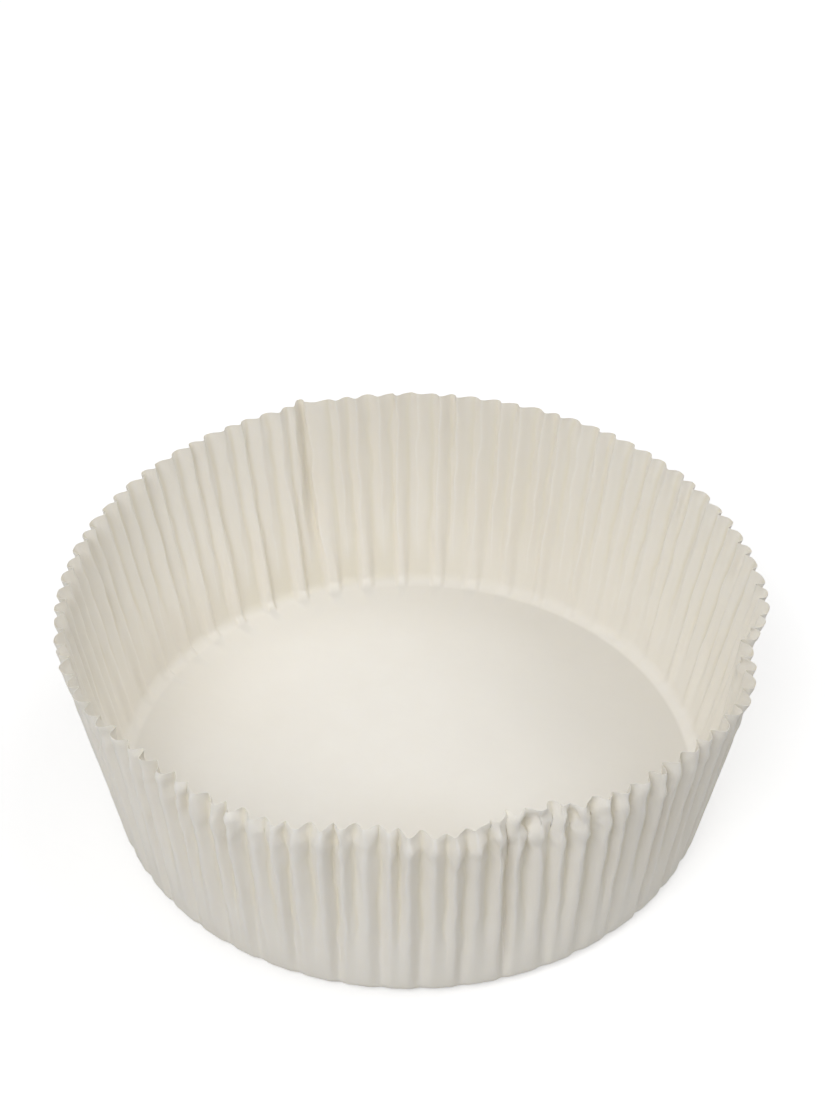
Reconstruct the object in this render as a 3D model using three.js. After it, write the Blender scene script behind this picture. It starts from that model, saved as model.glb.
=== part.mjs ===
// A fluted greaseproof paper liner for a round cake tin, pressed in one piece from a round blank.
// Lengths are in millimetres and angles in degrees. +Z is up, and the liner stands on its floor
// with its mouth open. The origin is the middle of the floor's underside, and the rim is pushed in
// most at the front, on the -Y side.

import * as THREE from 'three';
import { ParametricGeometry } from 'three/addons/geometries/ParametricGeometry.js';

// Driving sizes of the paper, along its middle surface.
const FLOOR_RADIUS = 95;
const CORNER_RADIUS = 5;
const WALL_LENGTH = 71;
const WALL_LEAN = 12.7;
const PAPER_THICKNESS = 0.1;

// Flutes: how many go round, and how uneven they lie. Fullness is how much of the depth that the
// paper allows they take: more where the rim is pushed in, and less on the far side.
const FLUTE_COUNT = 96;
const FLUTE_FULLNESS = 0.74;
const FULLNESS_SWING = 0.26;
const FLUTE_WANDER = 0.3;
const WANDER_WAVES = 37;
const DEPTH_SPREAD = 0.14;
const DEPTH_WAVES = 23;

// At the rim the ridges are fuller than the folds by this power, from so far towards the front on.
const BEND_POWER = 2.2;
const FULL_FROM = 0.3;

// Flutes go in pairs: a high ridge, a long fold, a low ridge and a short fold. These are their
// levels on the flute's wave, at the rim and at the wall's foot, where the short fold opens out flat.
const PAIR_AT_RIM = [1, -1, 0.75, -0.85];
const PAIR_AT_FOOT = [0.9, -3, 0.6, 0.4];
const PAIR_HEIGHT = 42;

// Places where handling has pushed the rim in: the way it faces, how far it spreads, and its depth.
const FRONT = 270;
const DENTS = [
  { facing: 265, spread: 42, depth: 8.5 },
  { facing: 222, spread: 11, depth: 3 },
  { facing: 263, spread: 7, depth: 5 },
  { facing: 290, spread: 7, depth: 7.5 },
  { facing: 315, spread: 14, depth: 3.5 },
  { facing: 350, spread: 4.5, depth: 6 },
  { facing: 182, spread: 25, depth: 1 },
];

const PAPER_COLOUR = 0xe8e2d6;
const PAPER_ROUGHNESS = 0.85;

// Steps of the mesh. A flute has a ridge, a shoulder, a fold and a shoulder, at these shares of it.
const STEPS_OF_FLUTE = [0, 0.22, 0.5, 0.78];
const CORNER_STEPS = 2;
const WALL_STEPS = 4;
const LAST_ROW = 1 + CORNER_STEPS + WALL_STEPS;
const STEPS_ROUND = FLUTE_COUNT * STEPS_OF_FLUTE.length;

const { clamp, degToRad, euclideanModulo, lerp, smoothstep } = THREE.MathUtils;

// How far the rim is pushed in at an angle about the axis.
function dentDepth(angle) {
  return DENTS.reduce((sum, { facing, spread, depth }) => {
    const away = euclideanModulo(angle - facing + 180, 360) - 180;
    return sum + depth * Math.exp(-0.5 * (away / spread) ** 2);
  }, 0);
}

// The wall's lean from upright, in radians: a dent stands the wall up without shortening it.
function wallLean(angle) {
  return Math.asin(Math.sin(degToRad(WALL_LEAN)) - dentDepth(angle) / WALL_LENGTH);
}

// Middle of the paper without its flutes. Row 0 is the centre, row 1 the floor's edge, and the
// rows after it climb the corner and the wall to the rim. "paper" is the way walked from the centre.
function section(row, lean) {
  const floor = FLOOR_RADIUS * Math.min(row, 1);
  const turn = (Math.PI / 2 - lean) * clamp((row - 1) / CORNER_STEPS, 0, 1);
  const climb = WALL_LENGTH * clamp((row - 1 - CORNER_STEPS) / WALL_STEPS, 0, 1);
  return {
    paper: floor + CORNER_RADIUS * turn + climb,
    radius: floor + CORNER_RADIUS * Math.sin(turn) + climb * Math.cos(turn),
    height: CORNER_RADIUS * (1 - Math.cos(turn)) + climb * Math.sin(turn),
    turn,
    climb,
  };
}

// How far a bearing lies towards the side that is pushed in most, from -1 to 1.
function frontness(angle) {
  return Math.cos(degToRad(angle - FRONT));
}

// Half the depth of a flute, from the paper that a smaller circle leaves over in each half flute.
function halfDepth({ paper, radius }, angle) {
  const spare = Math.sqrt(Math.max(paper ** 2 - radius ** 2, 0));
  const fullness = FLUTE_FULLNESS + FULLNESS_SWING * frontness(angle);
  const uneven = 1 + DEPTH_SPREAD * Math.sin(DEPTH_WAVES * degToRad(angle));
  return (0.5 * fullness * uneven * Math.PI * spare) / FLUTE_COUNT;
}

// Level of the flute's wave. Towards the rim the ridges grow fuller and the folds narrower, except
// on the far side.
function fluteWave(flute, share, climb, angle) {
  const towardFold = 1 - Math.abs(2 * share - 1);
  const paired = smoothstep(climb, 0, PAIR_HEIGHT);
  const full = smoothstep(climb, PAIR_HEIGHT, WALL_LENGTH) * smoothstep(frontness(angle), -1, FULL_FROM);
  const eased = smoothstep(towardFold ** lerp(1, BEND_POWER, full), 0, 1);
  const level = (bend) => {
    const place = bend % PAIR_AT_RIM.length;
    return lerp(PAIR_AT_FOOT[place], PAIR_AT_RIM[place], paired);
  };
  const fold = 2 * flute + 1;
  const ridge = share < 0.5 ? fold - 1 : fold + 1;
  return lerp(level(ridge), level(fold), eased);
}

// Middle surface of the fluted paper at a step round it and a row up it.
function sheetPoint(step, row) {
  const wrapped = euclideanModulo(step, STEPS_ROUND);
  const flute = Math.floor(wrapped / STEPS_OF_FLUTE.length);
  const share = STEPS_OF_FLUTE[wrapped % STEPS_OF_FLUTE.length];
  const even = (360 * (flute + share)) / FLUTE_COUNT;
  const angle = even + FLUTE_WANDER * Math.sin(WANDER_WAVES * degToRad(even));
  const mean = section(row, wallLean(angle));
  const out = halfDepth(mean, angle) * fluteWave(flute, share, mean.climb, angle);
  const radius = mean.radius + out * Math.sin(mean.turn);
  const height = PAPER_THICKNESS / 2 + mean.height - out * Math.cos(mean.turn);
  const heading = degToRad(angle);
  return new THREE.Vector3(radius * Math.cos(heading), radius * Math.sin(heading), height);
}

// Outward direction across the paper. At the centre and on the floor it points straight down.
function outward(step, row) {
  if (row <= 1) {
    return new THREE.Vector3(0, 0, -1);
  }
  const round = sheetPoint(step + 1, row).sub(sheetPoint(step - 1, row));
  const up = sheetPoint(step, Math.min(row + 1, LAST_ROW)).sub(sheetPoint(step, row - 1));
  return round.cross(up).normalize();
}

// The closed skin of the paper: out along the underside, over the rim, and back along the top.
function skinPoint(u, v, target) {
  const step = Math.round(u * STEPS_ROUND) % STEPS_ROUND;
  const place = Math.round(v * (2 * LAST_ROW + 1));
  const inside = place > LAST_ROW;
  const row = inside ? 2 * LAST_ROW + 1 - place : place;
  const across = (inside ? -0.5 : 0.5) * PAPER_THICKNESS;
  target.copy(sheetPoint(step, row)).addScaledVector(outward(step, row), across);
}

// Splits the quads of the inner skin along the same diagonals as the outer skin's, so that the two
// stay the paper's thickness apart where a quad is twisted.
function shareDiagonals(geometry) {
  const corners = geometry.index.array;
  const outerQuads = (LAST_ROW + 1) * STEPS_ROUND;
  for (let at = 6 * outerQuads; at < corners.length; at += 6) {
    const [a, b, d, , c] = corners.slice(at, at + 6);
    corners.set([a, b, c, a, c, d], at);
  }
  return geometry;
}

const paper = new THREE.MeshStandardMaterial({
  color: PAPER_COLOUR,
  roughness: PAPER_ROUGHNESS,
  metalness: 0,
});

const skin = shareDiagonals(new ParametricGeometry(skinPoint, STEPS_ROUND, 2 * LAST_ROW + 1));
const liner = new THREE.Mesh(skin, paper);
liner.name = 'liner';

const cakeTinLiner = new THREE.Group();
cakeTinLiner.add(liner);

export default cakeTinLiner;
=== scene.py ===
"""Scene of a fluted greaseproof paper liner for a round cake tin.

The liner is one round sheet of paper, pressed into a flat floor, a rounded corner and a fluted wall.
It is cut here as a flat disc, folded point by point, creased and crumpled where hands have held it,
and then given its thickness. Lengths are in metres, angles are in degrees unless a name says
radians, and +Z is up.
"""

from __future__ import annotations

import logging
import math
from dataclasses import dataclass
from enum import Enum
from itertools import pairwise

import bmesh
import bpy
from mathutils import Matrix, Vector, noise


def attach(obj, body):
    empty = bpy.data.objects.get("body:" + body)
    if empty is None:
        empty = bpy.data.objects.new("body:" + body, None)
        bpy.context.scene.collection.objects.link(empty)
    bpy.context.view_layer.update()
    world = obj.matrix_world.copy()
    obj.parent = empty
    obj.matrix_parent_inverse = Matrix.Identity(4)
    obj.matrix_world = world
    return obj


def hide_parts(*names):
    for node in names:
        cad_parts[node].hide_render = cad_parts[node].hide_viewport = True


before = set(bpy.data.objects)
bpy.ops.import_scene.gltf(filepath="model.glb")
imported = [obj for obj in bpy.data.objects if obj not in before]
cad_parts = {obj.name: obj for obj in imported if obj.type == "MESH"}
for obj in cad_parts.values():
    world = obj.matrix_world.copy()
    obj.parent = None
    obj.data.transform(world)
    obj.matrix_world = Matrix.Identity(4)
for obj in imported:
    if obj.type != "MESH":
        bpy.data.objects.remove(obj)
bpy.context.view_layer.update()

LOG = logging.getLogger("liner_scene")
MILLIMETRE = 0.001

# Crinkles of the paper: how long one is, and how deep.
CRINKLE_LENGTH = 0.006
CRINKLE_DEPTH = 0.00012
FINE_CRINKLE_LENGTH = 0.0025
FINE_CRINKLE_DEPTH = 0.00005
CRUMPLE_LENGTH = 0.0045

# Where in the noise each kind is read, so that no two follow one another, and how far apart the
# wavering of neighbouring bends lies in it.
FINE_CRINKLE_SHIFT = Vector((7.1, 3.3, 1.7))
CRUMPLE_SHIFT = Vector((2.9, 8.3, 5.1))
WAVER_STEP = 3.7
WAVER_SLICE = 0.5


def smooth_ramp(value: float, low: float, high: float) -> float:
    """Rise smoothly from 0 at low to 1 at high.

    Args:
        value: Where to read the ramp.
        low: Where the ramp starts.
        high: Where the ramp ends.

    Returns:
        The ramp's height, from 0 to 1.
    """
    share = min(max((value - low) / (high - low), 0.0), 1.0)
    return share * share * (3.0 - 2.0 * share)


def mix(start: float, end: float, share: float) -> float:
    """Blend from start to end by share."""
    return start + (end - start) * share


def away_from(angle: float, facing: float) -> float:
    """Turn from facing to angle, in degrees from -180 to 180."""
    return (angle - facing + 180.0) % 360.0 - 180.0


class Bend(Enum):
    """The four bends of a pair of flutes, each with its level on the wave at the rim and the foot."""

    HIGH_RIDGE = (1.0, 0.9)
    LONG_FOLD = (-1.0, -1.9)
    LOW_RIDGE = (0.75, 0.6)
    SHORT_FOLD = (-0.85, 0.4)

    def level(self, closed: float) -> float:
        """Level of the bend on the flute's wave.

        Args:
            closed: 0 at the foot of the wall, where a short fold has opened out, and 1 higher up.

        Returns:
            The level, where 1 is outward and -1 inward by half a flute's depth.
        """
        rim, foot = self.value
        return mix(foot, rim, closed)


@dataclass(frozen=True)
class Bell:
    """A smooth swelling of some quantity about one bearing round the rim.

    Attributes:
        facing: Bearing of its middle, in degrees from +X towards +Y.
        spread: Degrees from its middle to where it is at 61%.
        depth: Its size in the middle.
    """

    facing: float
    spread: float
    depth: float

    def at(self, angle: float) -> float:
        """Size of the swelling at a bearing."""
        return self.depth * math.exp(-0.5 * (away_from(angle, self.facing) / self.spread) ** 2)


@dataclass(frozen=True)
class SheetPoint:
    """A point on the middle of the paper before its flutes are added.

    Attributes:
        paper: Way along the paper from the centre.
        radius: Distance from the axis.
        height: Height above the floor's middle surface.
        turn: Angle of the paper from flat, in radians.
        climb: Way along the paper up the wall.
    """

    paper: float
    radius: float
    height: float
    turn: float
    climb: float


@dataclass(frozen=True)
class PaperFinish:
    """Matt greaseproof paper: warm white, faintly cloudy, with fine fibres and a soft tooth, and painted
    shade in its grooves and on parts of the floor.

    Attributes:
        name: Name of the material.
        colour: Main colour, linear.
        cloud_colour: Colour of the denser clouds in the sheet.
        crease_colour: Colour of the fibres opened up along a crease.
        groove_shade_colour: Painted shade, warmer and darker, in the bottom of each groove and at the
            wall's foot between the toes, for the shade and the light bounced through the paper there.
        patch_colour: Colour of the thinner patches of the sheet.
        patches_per_metre: Scale of those patches.
        patch_ramp: Levels of the patches' noise where they start and are full.
        groove_shade_ramp: Levels of a groove where its painted shade starts and is full.
        floor_shade_colour: Colour where the floor's paper is thinnest.
        clouds_per_metre: Scale of the clouds.
        fibres_per_metre: Scale of the fibres.
        roughness: Least and most roughness.
        sheen: Strength of the surface's reflection.
        glow: Share of light that spreads inside the sheet.
        glow_reach: How far it spreads, for red, green and blue.
        tooth_depth: Height of the fibres on the surface.
        cockle_depth: Height of the slow waves in the sheet.
    """

    name: str = "greaseproof_paper"
    colour: tuple[float, float, float] = (0.895, 0.865, 0.795)
    cloud_colour: tuple[float, float, float] = (0.87, 0.83, 0.755)
    crease_colour: tuple[float, float, float] = (0.91, 0.885, 0.83)
    groove_shade_colour: tuple[float, float, float] = (0.83, 0.785, 0.675)
    patch_colour: tuple[float, float, float] = (0.83, 0.785, 0.70)
    patches_per_metre: float = 11.0
    patch_ramp: tuple[float, float] = (0.45, 0.85)
    groove_shade_ramp: tuple[float, float] = (0.2, 1.0)
    # floor_shade_colour: Colour of the painted shade on a broad patch of the floor, along its edge and
    # between the toes.
    floor_shade_colour: tuple[float, float, float] = (0.77, 0.735, 0.665)
    clouds_per_metre: float = 90.0
    fibres_per_metre: float = 1400.0
    roughness: tuple[float, float] = (0.72, 0.9)
    sheen: float = 0.35
    glow: float = 0.14
    glow_reach: tuple[float, float, float] = (0.0010, 0.0008, 0.0005)
    tooth_depth: float = 0.02 * MILLIMETRE
    cockle_depth: float = 0.25 * MILLIMETRE

    def build(self) -> bpy.types.Material:
        """Make the paper's material.

        Returns:
            The finished material.
        """
        material = bpy.data.materials.new(self.name)
        material.use_nodes = True
        nodes = material.node_tree.nodes
        links = material.node_tree.links
        shader = nodes["Principled BSDF"]
        place = nodes.new("ShaderNodeTexCoord").outputs["Object"]

        clouds = self._noise(material, place, self.clouds_per_metre, detail=3.0)
        fibres = self._noise(material, place, self.fibres_per_metre, detail=5.0)
        patches = self._noise(material, place, self.patches_per_metre, detail=1.0)
        cloudy = self._blend(material, clouds, self.cloud_colour)
        cloudy.inputs["A"].default_value = (*self.colour, 1.0)
        patched = self._ramp(material, patches, *self.patch_ramp)
        patchy = self._blend(material, patched, self.patch_colour)
        links.new(cloudy.outputs["Result"], patchy.inputs["A"])
        # Painted shade: darker on a broad patch of the floor, along its edge and between the toes.
        painted_floor_shade = nodes.new("ShaderNodeAttribute")
        painted_floor_shade.attribute_name = "painted_floor_shade"
        floor_shaded = self._blend(material, painted_floor_shade.outputs["Fac"], self.floor_shade_colour)
        links.new(patchy.outputs["Result"], floor_shaded.inputs["A"])

        crease = nodes.new("ShaderNodeAttribute")
        crease.attribute_name = "crease"
        worn = nodes.new("ShaderNodeMath")
        worn.operation = "MULTIPLY"
        links.new(crease.outputs["Fac"], worn.inputs[0])
        links.new(fibres, worn.inputs[1])
        creased = self._blend(material, worn.outputs[0], self.crease_colour)
        links.new(floor_shaded.outputs["Result"], creased.inputs["A"])

        # Painted shade: the level attribute darkens and warms the bottom of each groove and the wall's
        # foot between the toes.
        level = nodes.new("ShaderNodeAttribute")
        level.attribute_name = "level"
        depth = self._ramp(material, level.outputs["Fac"], *self.groove_shade_ramp)
        groove_shaded = self._blend(material, depth, self.groove_shade_colour)
        links.new(creased.outputs["Result"], groove_shaded.inputs["A"])
        links.new(groove_shaded.outputs["Result"], shader.inputs["Base Color"])

        dull = nodes.new("ShaderNodeMapRange")
        dull.inputs["To Min"].default_value = self.roughness[0]
        dull.inputs["To Max"].default_value = self.roughness[1]
        links.new(fibres, dull.inputs["Value"])
        links.new(dull.outputs["Result"], shader.inputs["Roughness"])

        cockle = self._bump(material, clouds, self.cockle_depth)
        tooth = self._bump(material, fibres, self.tooth_depth)
        links.new(cockle.outputs["Normal"], tooth.inputs["Normal"])
        links.new(tooth.outputs["Normal"], shader.inputs["Normal"])

        shader.inputs["Specular IOR Level"].default_value = self.sheen
        shader.inputs["Subsurface Weight"].default_value = self.glow
        shader.inputs["Subsurface Radius"].default_value = self.glow_reach
        shader.inputs["Subsurface Scale"].default_value = 1.0
        return material

    @staticmethod
    def _blend(
        material: bpy.types.Material, share: bpy.types.NodeSocket, colour: tuple[float, float, float]
    ) -> bpy.types.Node:
        """Add a blend towards a colour.

        Args:
            material: Material to add to.
            share: Socket with how much of the colour there is.
            colour: The colour, linear.

        Returns:
            The blend, whose A input takes the colour under it.
        """
        blend = material.node_tree.nodes.new("ShaderNodeMix")
        blend.data_type = "RGBA"
        blend.inputs["B"].default_value = (*colour, 1.0)
        material.node_tree.links.new(share, blend.inputs["Factor"])
        return blend

    @staticmethod
    def _ramp(
        material: bpy.types.Material, value: bpy.types.NodeSocket, low: float, high: float
    ) -> bpy.types.NodeSocket:
        """Add a smooth rise from 0 at low to 1 at high.

        Args:
            material: Material to add to.
            value: Socket that it reads.
            low: Where the rise starts.
            high: Where the rise ends.

        Returns:
            The socket with the rise.
        """
        ramp = material.node_tree.nodes.new("ShaderNodeMapRange")
        ramp.interpolation_type = "SMOOTHSTEP"
        ramp.inputs["From Min"].default_value = low
        ramp.inputs["From Max"].default_value = high
        material.node_tree.links.new(value, ramp.inputs["Value"])
        return ramp.outputs["Result"]

    @staticmethod
    def _noise(
        material: bpy.types.Material, place: bpy.types.NodeSocket, scale: float, detail: float
    ) -> bpy.types.NodeSocket:
        """Add a noise pattern.

        Args:
            material: Material to add to.
            place: Coordinates that it reads.
            scale: Features in a metre.
            detail: Octaves of finer noise.

        Returns:
            The socket with the noise's height.
        """
        texture = material.node_tree.nodes.new("ShaderNodeTexNoise")
        texture.inputs["Scale"].default_value = scale
        texture.inputs["Detail"].default_value = detail
        material.node_tree.links.new(place, texture.inputs["Vector"])
        return texture.outputs["Fac"]

    @staticmethod
    def _bump(
        material: bpy.types.Material, height: bpy.types.NodeSocket, depth: float
    ) -> bpy.types.Node:
        """Add a bump of a real depth.

        Args:
            material: Material to add to.
            height: Socket with the height pattern.
            depth: Height of the bump from lowest to highest.

        Returns:
            The bump node.
        """
        bump = material.node_tree.nodes.new("ShaderNodeBump")
        bump.inputs["Strength"].default_value = 1.0
        bump.inputs["Distance"].default_value = depth
        material.node_tree.links.new(height, bump.inputs["Height"])
        return bump


@dataclass
class PleatedLiner:
    """The whole liner, one pressed sheet of paper.

    Attributes:
        floor_radius: Radius of the flat floor.
        corner_radius: Radius of the bend between floor and wall.
        wall_length: Paper in the wall, from the bend to the rim.
        wall_lean: Lean of the wall from upright.
        thickness: Thickness of the paper.
        flute_count: Number of flutes round the wall.
        flute_fullness: Share of the depth that the paper allows which the flutes take.
        fullness_swing: How much more of it they take at the front, and less at the back.
        flute_wander: Degrees by which flutes are spaced unevenly.
        wander_waves: How many times that unevenness goes round.
        depth_spread: Share by which the flutes differ in depth.
        depth_waves: How many times that difference goes round.
        bend_power: How much fuller the ridges are than the folds, where they are fullest.
        pinched: How much of that they take, most at the sides, read at the size of the frontness.
        pair_height: Way up the wall where the short folds are fully closed.
        front: Bearing of the side that is pushed in most.
        dents: Places where the rim is pushed in.
        grooves: Narrow places where one ridge stands out further than the rest.
        leans: Where the folds lean to one side, as a share of half a flute.
        toes: How deep the long folds' lower ends stand in over the floor's edge.
        toe_side: Where a toe's side rises, on the way from the ridge, 0, to the fold, 1.
        toe_climb: Share of the wall over which the toes fade out.
        waver: Degrees by which a fold's line wavers on its way down.
        waver_length: Length of one waver.
        rim_flare: How far the ridges roll out at the cut edge, away from the front.
        rim_tuck: How far they curl in there at the front.
        fold_tuck: How far the folds curl in there, as a share of the ridges.
        tuck_front: How far towards the front the edge starts to curl in, and does so in full.
        rim_curl_reach: Way down from the cut edge where the paper starts to curl.
        rim_droop: How far the cut edge drops, as a share of the way it curls.
        crumples: Places where the rim is crumpled, and how deep.
        crumple_from: Share of the wall's height where the crumples start.
        floor_shade_patch: Where a broad patch of the floor is painted darker, as shade.
        edge_shade: How much painted shade lies along the floor's edge and between the toes.
        steps_of_flute: Mesh steps in one flute.
        floor_rows: Mesh rows on the floor.
        corner_rows: Mesh rows round the bend.
        wall_rows: Mesh rows up the wall.
        rim_crowding: How much closer the rows are at the rim.
        fold_crowding: How much closer the steps of a flute are at its fold.
    """

    floor_radius: float = 0.095
    corner_radius: float = 0.005
    wall_length: float = 0.071
    wall_lean: float = 12.7
    thickness: float = 0.1 * MILLIMETRE
    flute_count: int = 96
    flute_fullness: float = 0.74
    fullness_swing: float = 0.26
    flute_wander: float = 0.3
    wander_waves: int = 37
    depth_spread: float = 0.14
    depth_waves: int = 23
    bend_power: float = 2.2
    pinched: Bell = Bell(0.0, 0.45, 1.0)
    pair_height: float = 0.042
    front: float = 270.0
    dents: tuple[Bell, ...] = (
        Bell(265, 42, 0.0085),
        Bell(222, 11, 0.003),
        Bell(263, 7, 0.005),
        Bell(290, 7, 0.0075),
        Bell(315, 14, 0.0035),
        Bell(350, 4.5, 0.006),
        Bell(182, 25, 0.001),
    )
    grooves: tuple[Bell, ...] = (
        Bell(109.3, 1.2, 0.0044),
        Bell(89.0, 0.8, 0.0014),
    )
    leans: tuple[Bell, ...] = (
        Bell(88, 15, 0.30),
        Bell(106.9, 1.5, 0.80),
        Bell(146, 22, -0.26),
        Bell(30, 24, 0.10),
    )
    toes: tuple[Bell, ...] = (
        Bell(112, 27, 0.0023),
        Bell(60, 20, 0.0004),
    )
    toe_side: tuple[float, float] = (0.12, 0.6)
    toe_climb: float = 0.7
    waver: float = 0.65
    waver_length: float = 0.009
    rim_flare: float = 0.0006
    rim_tuck: float = 0.0024
    fold_tuck: float = 0.45
    tuck_front: tuple[float, float] = (0.3, 0.95)
    rim_curl_reach: float = 0.010
    rim_droop: float = 0.3
    crumples: tuple[Bell, ...] = (
        Bell(294, 8, 0.0026),
        Bell(270, 60, 0.0010),
        Bell(222, 12, 0.0004),
        Bell(350, 9, 0.0005),
    )
    crumple_from: float = 0.72
    floor_shade_patch: Bell = Bell(22, 36, 1.0)
    edge_shade: float = 0.55
    steps_of_flute: int = 12
    floor_rows: int = 6
    corner_rows: int = 6
    wall_rows: int = 27
    rim_crowding: float = 1.35
    fold_crowding: float = 0.45

    @property
    def lean(self) -> float:
        """Lean of the undented wall, in radians."""
        return math.radians(self.wall_lean)

    @property
    def corner_paper(self) -> float:
        """Paper in the bend of the undented wall."""
        return self.corner_radius * (math.pi / 2 - self.lean)

    @property
    def wall_start(self) -> float:
        """Way along the flat sheet from its centre to the foot of the wall."""
        return self.floor_radius + self.corner_paper

    def row_radii(self) -> list[float]:
        """Radii of the mesh's rings on the flat sheet, closer together at the bend and the rim.

        Returns:
            The radii, from the centre to the cut edge.
        """
        floor = [self.floor_radius * math.sqrt(i / self.floor_rows) for i in range(self.floor_rows)]
        step = self.corner_paper / self.corner_rows
        bend = [self.floor_radius + step * i for i in range(self.corner_rows)]
        steps_left = [1.0 - i / self.wall_rows for i in range(self.wall_rows + 1)]
        shares = [1.0 - left**self.rim_crowding for left in steps_left]
        wall = [self.wall_start + self.wall_length * share for share in shares]
        return floor + bend + wall

    def cut_sheet(self) -> bmesh.types.BMesh:
        """Cut the flat round sheet, as a spun line of points.

        Returns:
            The disc, with the rings and spokes that the folds need.
        """
        sheet = bmesh.new()
        line = [sheet.verts.new((radius, 0.0, 0.0)) for radius in self.row_radii()]
        edges = [sheet.edges.new(pair) for pair in pairwise(line)]
        bmesh.ops.spin(
            sheet,
            geom=line + edges,
            cent=(0.0, 0.0, 0.0),
            axis=(0.0, 0.0, 1.0),
            dvec=(0.0, 0.0, 0.0),
            angle=math.tau,
            steps=self.flute_count * self.steps_of_flute,
            use_merge=True,
            use_duplicate=False,
        )
        bmesh.ops.remove_doubles(sheet, verts=sheet.verts, dist=0.001 * MILLIMETRE)
        bmesh.ops.recalc_face_normals(sheet, faces=sheet.faces)
        return sheet

    def lean_at(self, angle: float) -> float:
        """Lean of the wall at a bearing, in radians.

        Args:
            angle: The bearing.

        Returns:
            The lean, less where the rim is pushed in, because a dent doesn't shorten the paper.
        """
        pushed = sum(dent.at(angle) for dent in self.dents)
        return math.asin(math.sin(self.lean) - pushed / self.wall_length)

    def fold_section(self, along: float, lean: float) -> SheetPoint:
        """Bend a point of the flat sheet to the floor, corner or wall.

        Args:
            along: Way from the centre on the flat sheet.
            lean: Lean of the wall there, in radians.

        Returns:
            The point on the bent paper.
        """
        floor = min(along, self.floor_radius)
        bent = min(max((along - self.floor_radius) / self.corner_paper, 0.0), 1.0)
        turn = (math.pi / 2 - lean) * bent
        climb = max(along - self.wall_start, 0.0)
        return SheetPoint(
            paper=floor + self.corner_radius * turn + climb,
            radius=floor + self.corner_radius * math.sin(turn) + climb * math.cos(turn),
            height=self.corner_radius * (1.0 - math.cos(turn)) + climb * math.sin(turn),
            turn=turn,
            climb=climb,
        )

    def frontness(self, angle: float) -> float:
        """How far a bearing lies towards the front, from -1 to 1."""
        return math.cos(math.radians(angle - self.front))

    def half_depth(self, mean: SheetPoint, angle: float) -> float:
        """Half the depth of a flute, from the paper that the smaller circle leaves over.

        Args:
            mean: Point on the bent paper.
            angle: Its bearing.

        Returns:
            Half the depth from ridge to fold.
        """
        spare = math.sqrt(max(mean.paper**2 - mean.radius**2, 0.0))
        fullness = self.flute_fullness + self.fullness_swing * self.frontness(angle)
        uneven = 1.0 + self.depth_spread * math.sin(self.depth_waves * math.radians(angle))
        return 0.5 * fullness * uneven * math.pi * spare / self.flute_count

    def bends_beside(self, turns: float) -> tuple[Bend, Bend]:
        """Find the ridge and the fold on either side of a place.

        Args:
            turns: Flutes counted round from +X, with a ridge at each whole number.

        Returns:
            The nearest ridge and the nearest fold.
        """
        flute = math.floor(turns)
        fold = Bend.SHORT_FOLD if flute % 2 else Bend.LONG_FOLD
        near_start = turns - flute < 0.5
        ridge = Bend.HIGH_RIDGE if near_start == (flute % 2 == 0) else Bend.LOW_RIDGE
        return ridge, fold

    def toward_fold(self, turns: float) -> float:
        """How far a place lies from the ridge, 0, to the fold, 1."""
        return 1.0 - abs(2.0 * (turns % 1.0) - 1.0)

    def flute_wave(self, turns: float, climb: float, angle: float) -> float:
        """Level of the flute's wave, whose ridges are fuller towards the rim at the sides.

        Args:
            turns: Flutes counted round from +X, with a ridge at each whole number.
            climb: Way up the wall.
            angle: Bearing.

        Returns:
            1 on a high ridge, falling to -1 in a long fold.
        """
        ridge, fold = self.bends_beside(turns)
        inward = self.toward_fold(turns)
        closed = smooth_ramp(climb, 0.0, self.pair_height)
        full = smooth_ramp(climb, self.pair_height, self.wall_length)
        full *= self.pinched.at(abs(self.frontness(angle)))
        eased = smooth_ramp(inward ** mix(1.0, self.bend_power, full), 0.0, 1.0)
        return mix(ridge.level(closed), fold.level(closed), eased)

    def bearing_of(self, even: float, climb: float) -> float:
        """Bearing of a spoke of the sheet, with uneven spacing, leaning folds and wavering lines.

        Args:
            even: Bearing on the flat sheet, in degrees.
            climb: Way up the wall.

        Returns:
            Bearing on the pressed sheet, in degrees.
        """
        turns = even / 360.0 * self.flute_count
        inward = self.toward_fold(turns)
        half_flute = 180.0 / self.flute_count
        leaning = sum(bell.at(even) for bell in self.leans)
        low = smooth_ramp(climb, 0.0, 0.3 * self.wall_length)
        bend_number = round(2.0 * turns) % (2 * self.flute_count)
        place = Vector((bend_number * WAVER_STEP, climb / self.waver_length, WAVER_SLICE))
        wavering = self.waver * noise.noise(place) * low * abs(2.0 * inward - 1.0)
        spacing = self.flute_wander * math.sin(self.wander_waves * math.radians(even))
        return even + spacing + leaning * half_flute * inward * low + wavering

    def toe(self, turns: float, mean: SheetPoint, angle: float) -> float:
        """How far the rounded end of a long fold stands in over the floor's edge.

        Args:
            turns: Flutes counted round from +X.
            mean: Point on the bent paper.
            angle: Its bearing.

        Returns:
            Depth inward, across the paper.
        """
        fold = self.bends_beside(turns)[1]
        if fold is not Bend.LONG_FOLD:
            return 0.0
        narrow = smooth_ramp(self.toward_fold(turns), *self.toe_side)
        starts = smooth_ramp(mean.paper, self.floor_radius, self.floor_radius + 0.3 * self.corner_radius)
        ends = 1.0 - smooth_ramp(mean.climb, 0.0, self.toe_climb * self.wall_length)
        return sum(bell.at(angle) for bell in self.toes) * narrow * starts * ends

    def deepest_toe(self) -> float:
        """Depth of the toes where they are deepest."""
        return max(bell.depth for bell in self.toes)

    def toed(self, angle: float) -> float:
        """How deep the toes are at a bearing, as a share of the deepest."""
        return sum(bell.at(angle) for bell in self.toes) / self.deepest_toe()

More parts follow.
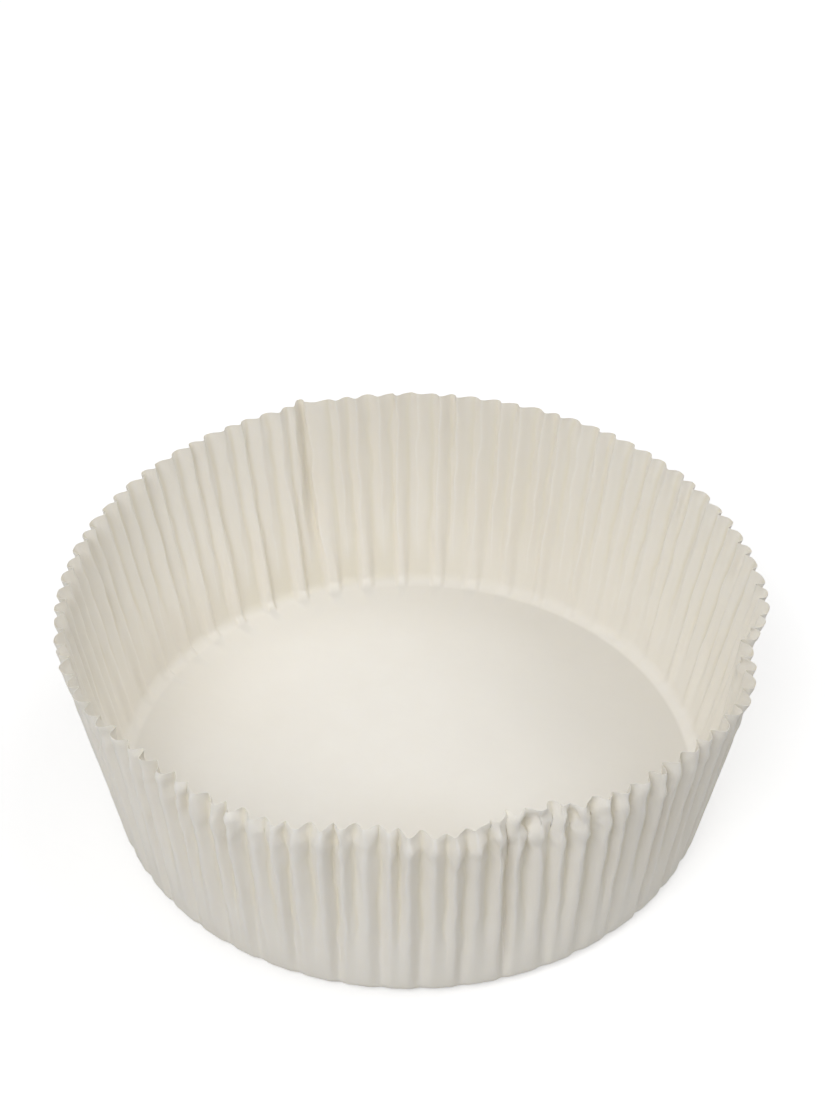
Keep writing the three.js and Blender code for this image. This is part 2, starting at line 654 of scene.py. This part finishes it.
    def painted_groove_shade(self, turns: float, mean: SheetPoint, angle: float) -> float:
        """How far a place lies back from the folds, as seen from the inside, which sets its painted
        shade.

        Args:
            turns: Flutes counted round from +X.
            mean: Point on the bent paper.
            angle: Its bearing.

        Returns:
            1 in the bottom of a groove, where the painted shade is darkest, and -1 on a fold. At the
            foot, only the toes stand out, and the painted shade lies between them.
        """
        starts = smooth_ramp(mean.paper, self.floor_radius, self.floor_radius + self.corner_radius)
        standing = self.toe(turns, mean, angle) / self.deepest_toe()
        foot = 0.8 * self.toed(angle) * starts - 2.0 * standing
        higher = smooth_ramp(mean.climb, 0.0, 0.5 * self.wall_length)
        return mix(foot, 1.0 - 2.0 * self.toward_fold(turns), higher)

    def painted_floor_shade_at(self, turns: float, mean: SheetPoint, along: float, angle: float) -> float:
        """How much painted shade a place gets: in a broad patch of the floor, at its edge and between
        the toes.

        Args:
            turns: Flutes counted round from +X.
            mean: Point on the bent paper.
            along: Way from the centre on the flat sheet.
            angle: Its bearing.

        Returns:
            The share, from 0 to 1, which is 0 higher up the wall.
        """
        if along > self.floor_radius + 0.1 * MILLIMETRE:
            faded = smooth_ramp(along, self.floor_radius, self.floor_radius + 4.0 * self.corner_radius)
            standing = self.toe(turns, mean, angle) / self.deepest_toe()
            return self.edge_shade * max(self.toed(angle) - standing, 0.0) * (1.0 - faded)
        outer = smooth_ramp(along, 0.1 * self.floor_radius, 0.8 * self.floor_radius)
        edge = self.edge_shade * smooth_ramp(along, 0.7 * self.floor_radius, self.floor_radius)
        return min(self.floor_shade_patch.at(angle) * outer + edge, 1.0)

    def curl(self, wave: float, climb: float, angle: float) -> float:
        """How far the paper curls out at the cut edge, or in where the rim is pushed in.

        Args:
            wave: Level on the flute's wave.
            climb: Way up the wall.
            angle: Bearing.

        Returns:
            The way out, which is below 0 at the front. The ridges curl more than the folds.
        """
        from_edge = (self.wall_length - climb) / self.rim_curl_reach
        curled = max(1.0 - from_edge, 0.0) ** 2
        on_ridge = smooth_ramp(wave, -1.0, 0.4)
        at_front = smooth_ramp(self.frontness(angle), *self.tuck_front)
        tucked = -self.rim_tuck * mix(self.fold_tuck, 1.0, on_ridge)
        return curled * mix(self.rim_flare * on_ridge, tucked, at_front)

    def press(self, sheet: bmesh.types.BMesh) -> None:
        """Press the flat sheet into the floor, corner and fluted wall.

        Args:
            sheet: The flat disc, which is folded in place.
        """
        crease = sheet.verts.layers.float.new("crease")
        level = sheet.verts.layers.float.new("level")
        painted_floor_shade = sheet.verts.layers.float.new("painted_floor_shade")
        for vert in sheet.verts:
            along = vert.co.to_2d().length
            spoke = math.atan2(vert.co.y, vert.co.x) % math.tau / math.tau * self.flute_count
            turns = spoke + self.fold_crowding * math.sin(math.tau * spoke) / math.tau
            turns %= self.flute_count
            even = 360.0 * turns / self.flute_count
            climb = max(along - self.wall_start, 0.0)
            angle = self.bearing_of(even, climb)
            mean = self.fold_section(along, self.lean_at(angle))
            wave = self.flute_wave(turns, climb, angle)
            out = self.half_depth(mean, angle) * wave - self.toe(turns, mean, angle)
            groove = sum(bell.at(angle) for bell in self.grooves)
            out += groove * smooth_ramp(climb, 0.0, 0.5 * self.wall_length)
            curl = self.curl(wave, climb, angle)
            radius = mean.radius + (out + curl) * math.sin(mean.turn)
            dropped = out * math.cos(mean.turn) + self.rim_droop * abs(curl)
            height = 0.5 * self.thickness + mean.height - dropped
            bearing = math.radians(angle)
            vert.co = (radius * math.cos(bearing), radius * math.sin(bearing), height)
            on_wall = smooth_ramp(climb, 0.0, 0.25 * self.wall_length)
            vert[crease] = smooth_ramp(abs(2.0 * self.toward_fold(turns) - 1.0), 0.7, 1.0) * on_wall
            # Painted shade: how far back from the folds the place lies, which darkens the grooves and
            # the foot between the toes.
            vert[level] = self.painted_groove_shade(turns, mean, angle)
            # Painted shade on a patch of the floor, along its edge and between the toes.
            vert[painted_floor_shade] = self.painted_floor_shade_at(turns, mean, along, angle)
        sheet.normal_update()

    def crumple(self, sheet: bmesh.types.BMesh) -> None:
        """Add the small crinkles that handling leaves in the wall and along the rim.

        Args:
            sheet: The pressed sheet, which is moved in place.
        """
        for vert in sheet.verts:
            climb = vert.co.z / self.wall_length
            angle = math.degrees(math.atan2(vert.co.y, vert.co.x))
            small = noise.noise(vert.co / CRINKLE_LENGTH)
            fine = noise.noise(vert.co / FINE_CRINKLE_LENGTH + FINE_CRINKLE_SHIFT)
            bent = noise.noise(vert.co / CRUMPLE_LENGTH + CRUMPLE_SHIFT)
            handled = sum(bell.at(angle) for bell in self.crumples)
            handled *= smooth_ramp(climb, self.crumple_from, 1.0)
            crinkled = CRINKLE_DEPTH * small * smooth_ramp(climb, 0.02, 0.2)
            crinkled += FINE_CRINKLE_DEPTH * fine * climb
            vert.co += vert.normal * (crinkled + handled * bent)
        sheet.normal_update()

    def thicken(self, sheet: bmesh.types.BMesh) -> None:
        """Give the paper its thickness and close its cut edge.

        Args:
            sheet: The pressed sheet, which becomes a closed shell.
        """
        bmesh.ops.triangulate(sheet, faces=sheet.faces, quad_method="SHORT_EDGE")
        level = sheet.verts.layers.float["level"]
        inside = list(sheet.faces)
        copied = bmesh.ops.duplicate(sheet, geom=inside)["geom"]
        outside = [part for part in copied if isinstance(part, bmesh.types.BMFace)]
        # The outer skin takes the level turned over, so that the painted groove shade lies in the
        # grooves on its own side.
        for vert in copied:
            if isinstance(vert, bmesh.types.BMVert):
                vert[level] = -vert[level]
        bmesh.ops.reverse_faces(sheet, faces=outside)
        sheet.normal_update()
        for vert in sheet.verts:
            vert.co += vert.normal * (0.5 * self.thickness)
        cut = [edge for edge in sheet.edges if edge.is_boundary]
        bmesh.ops.bridge_loops(sheet, edges=cut)
        for face in sheet.faces:
            face.smooth = True
        for edge in cut:
            edge.smooth = False

    def build(self, finish: bpy.types.Material) -> bpy.types.Object:
        """Make the liner and stand it in for its solid.

        Args:
            finish: Material of the paper.

        Returns:
            The finished piece.
        """
        sheet = self.cut_sheet()
        self.press(sheet)
        self.crumple(sheet)
        self.thicken(sheet)
        bmesh.ops.recalc_face_normals(sheet, faces=sheet.faces)
        mesh = bpy.data.meshes.new("paper_liner")
        sheet.to_mesh(mesh)
        sheet.free()
        mesh.materials.append(finish)
        piece = bpy.data.objects.new("paper_liner", mesh)
        bpy.context.scene.collection.objects.link(piece)
        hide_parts("liner")
        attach(piece, "root")
        return piece


@dataclass
class Studio:
    """White table, a large lamp from the front left, a fill from the right, and the camera.

    Attributes:
        table_size: Width of the table top.
        table_colour: Colour of the table top.
        table_lift: Light added to the table for the camera alone, which keeps it white.
        sky_low: Strength of the light from level with the table.
        sky_high: Strength of the light from straight above.
        key_power: Power of the large lamp, in watts.
        key_size: Width of the large lamp.
        key_place: Place of the large lamp.
        fill_power: Power of the lamp that lights the left inner wall, in watts.
        fill_size: Width of that lamp.
        fill_place: Place of that lamp.
        camera_place: Place of the camera.
        camera_dip: Degrees that the camera looks down.
        lens: Focal length, in millimetres on a 36 mm frame.
    """

    table_size: float = 6.0
    table_colour: tuple[float, float, float] = (0.66, 0.66, 0.66)
    table_lift: float = 0.48
    sky_low: float = 0.14
    sky_high: float = 0.56
    key_power: float = 18.5
    key_size: float = 1.1
    key_place: tuple[float, float, float] = (-0.62, -1.15, 1.65)
    fill_power: float = 12.5
    fill_size: float = 1.6
    fill_place: tuple[float, float, float] = (1.10, 0.40, 1.8)
    camera_place: tuple[float, float, float] = (0.0006, -0.6559, 0.6522)
    camera_dip: float = 40.19
    lens: float = 88.36

    def build_camera(self) -> bpy.types.Object:
        """Place the camera and make it the scene's.

        Returns:
            The camera.
        """
        lens = bpy.data.cameras.new("camera")
        lens.lens = self.lens
        lens.sensor_width = 36.0
        lens.clip_start = 0.01
        camera = bpy.data.objects.new("camera", lens)
        camera.location = self.camera_place
        camera.rotation_euler = (math.radians(90.0 - self.camera_dip), 0.0, 0.0)
        bpy.context.scene.collection.objects.link(camera)
        bpy.context.scene.camera = camera
        return camera

    def build_table(self) -> bpy.types.Object:
        """Make the table top, just under the liner.

        Returns:
            The table top.
        """
        top = bmesh.new()
        bmesh.ops.create_grid(top, x_segments=1, y_segments=1, size=0.5 * self.table_size)
        bmesh.ops.translate(top, verts=top.verts, vec=(0.0, 0.0, -0.1 * MILLIMETRE))
        mesh = bpy.data.meshes.new("table_top")
        top.to_mesh(mesh)
        top.free()
        mesh.materials.append(self._table_finish())
        table = bpy.data.objects.new("table_top", mesh)
        bpy.context.scene.collection.objects.link(table)
        return table

    def _table_finish(self) -> bpy.types.Material:
        """Make the table's white, which the camera sees lifted towards white.

        Returns:
            The table's material.
        """
        material = bpy.data.materials.new("white_table")
        material.use_nodes = True
        nodes = material.node_tree.nodes
        links = material.node_tree.links
        shader = nodes["Principled BSDF"]
        shader.inputs["Base Color"].default_value = (*self.table_colour, 1.0)
        shader.inputs["Roughness"].default_value = 0.9
        shader.inputs["Emission Color"].default_value = (1.0, 1.0, 1.0, 1.0)
        path = nodes.new("ShaderNodeLightPath")
        lift = nodes.new("ShaderNodeMath")
        lift.operation = "MULTIPLY"
        lift.inputs[1].default_value = self.table_lift
        links.new(path.outputs["Is Camera Ray"], lift.inputs[0])
        links.new(lift.outputs[0], shader.inputs["Emission Strength"])
        return material

    def build_sky(self) -> bpy.types.World:
        """Make the even light all round, white where the camera sees it.

        Returns:
            The world.
        """
        world = bpy.data.worlds.new("sky")
        world.use_nodes = True
        nodes = world.node_tree.nodes
        links = world.node_tree.links
        background = nodes["Background"]
        background.inputs["Color"].default_value = (1.0, 1.0, 1.0, 1.0)
        path = nodes.new("ShaderNodeLightPath")
        shown = nodes.new("ShaderNodeMath")
        shown.operation = "MAXIMUM"
        links.new(path.outputs["Is Camera Ray"], shown.inputs[0])
        links.new(path.outputs["Is Glossy Ray"], shown.inputs[1])
        seen = nodes.new("ShaderNodeMath")
        seen.operation = "MAXIMUM"
        links.new(shown.outputs[0], seen.inputs[0])
        links.new(path.outputs["Is Transmission Ray"], seen.inputs[1])
        direction = nodes.new("ShaderNodeTexCoord").outputs["Generated"]
        split = nodes.new("ShaderNodeSeparateXYZ")
        links.new(direction, split.inputs["Vector"])
        dome = nodes.new("ShaderNodeMapRange")
        dome.inputs["To Min"].default_value = self.sky_low
        dome.inputs["To Max"].default_value = self.sky_high
        links.new(split.outputs["Z"], dome.inputs["Value"])
        strength = nodes.new("ShaderNodeMapRange")
        links.new(dome.outputs["Result"], strength.inputs["To Min"])
        strength.inputs["To Max"].default_value = 1.0
        links.new(seen.outputs[0], strength.inputs["Value"])
        links.new(strength.outputs["Result"], background.inputs["Strength"])
        bpy.context.scene.world = world
        return world

    def build_lamp(
        self, name: str, power: float, size: float, place: tuple[float, float, float]
    ) -> bpy.types.Object:
        """Hang a square soft lamp that faces the liner.

        Args:
            name: Name of the lamp.
            power: Power in watts.
            size: Width of the square.
            place: Place of its middle.

        Returns:
            The lamp.
        """
        light = bpy.data.lights.new(name, "AREA")
        light.energy = power
        light.size = size
        lamp = bpy.data.objects.new(name, light)
        lamp.location = place
        lamp.rotation_euler = (-Vector(place)).to_track_quat("-Z", "Y").to_euler()
        bpy.context.scene.collection.objects.link(lamp)
        return lamp

    def build(self) -> None:
        """Make the camera, the table and the lights."""
        self.build_camera()
        self.build_table()
        self.build_sky()
        self.build_lamp("key_lamp", self.key_power, self.key_size, self.key_place)
        self.build_lamp("fill_lamp", self.fill_power, self.fill_size, self.fill_place)
        bpy.context.scene.view_settings.view_transform = "Standard"


def main() -> None:
    """Build the studio and the liner, and report each piece."""
    logging.basicConfig(level=logging.INFO, format="%(name)s: %(message)s")
    Studio().build()
    LOG.info("the studio is set")
    paper = PaperFinish().build()
    liner = PleatedLiner().build(paper)
    LOG.info("%s has %d faces", liner.name, len(liner.data.polygons))


if __name__ == "__main__":
    main()
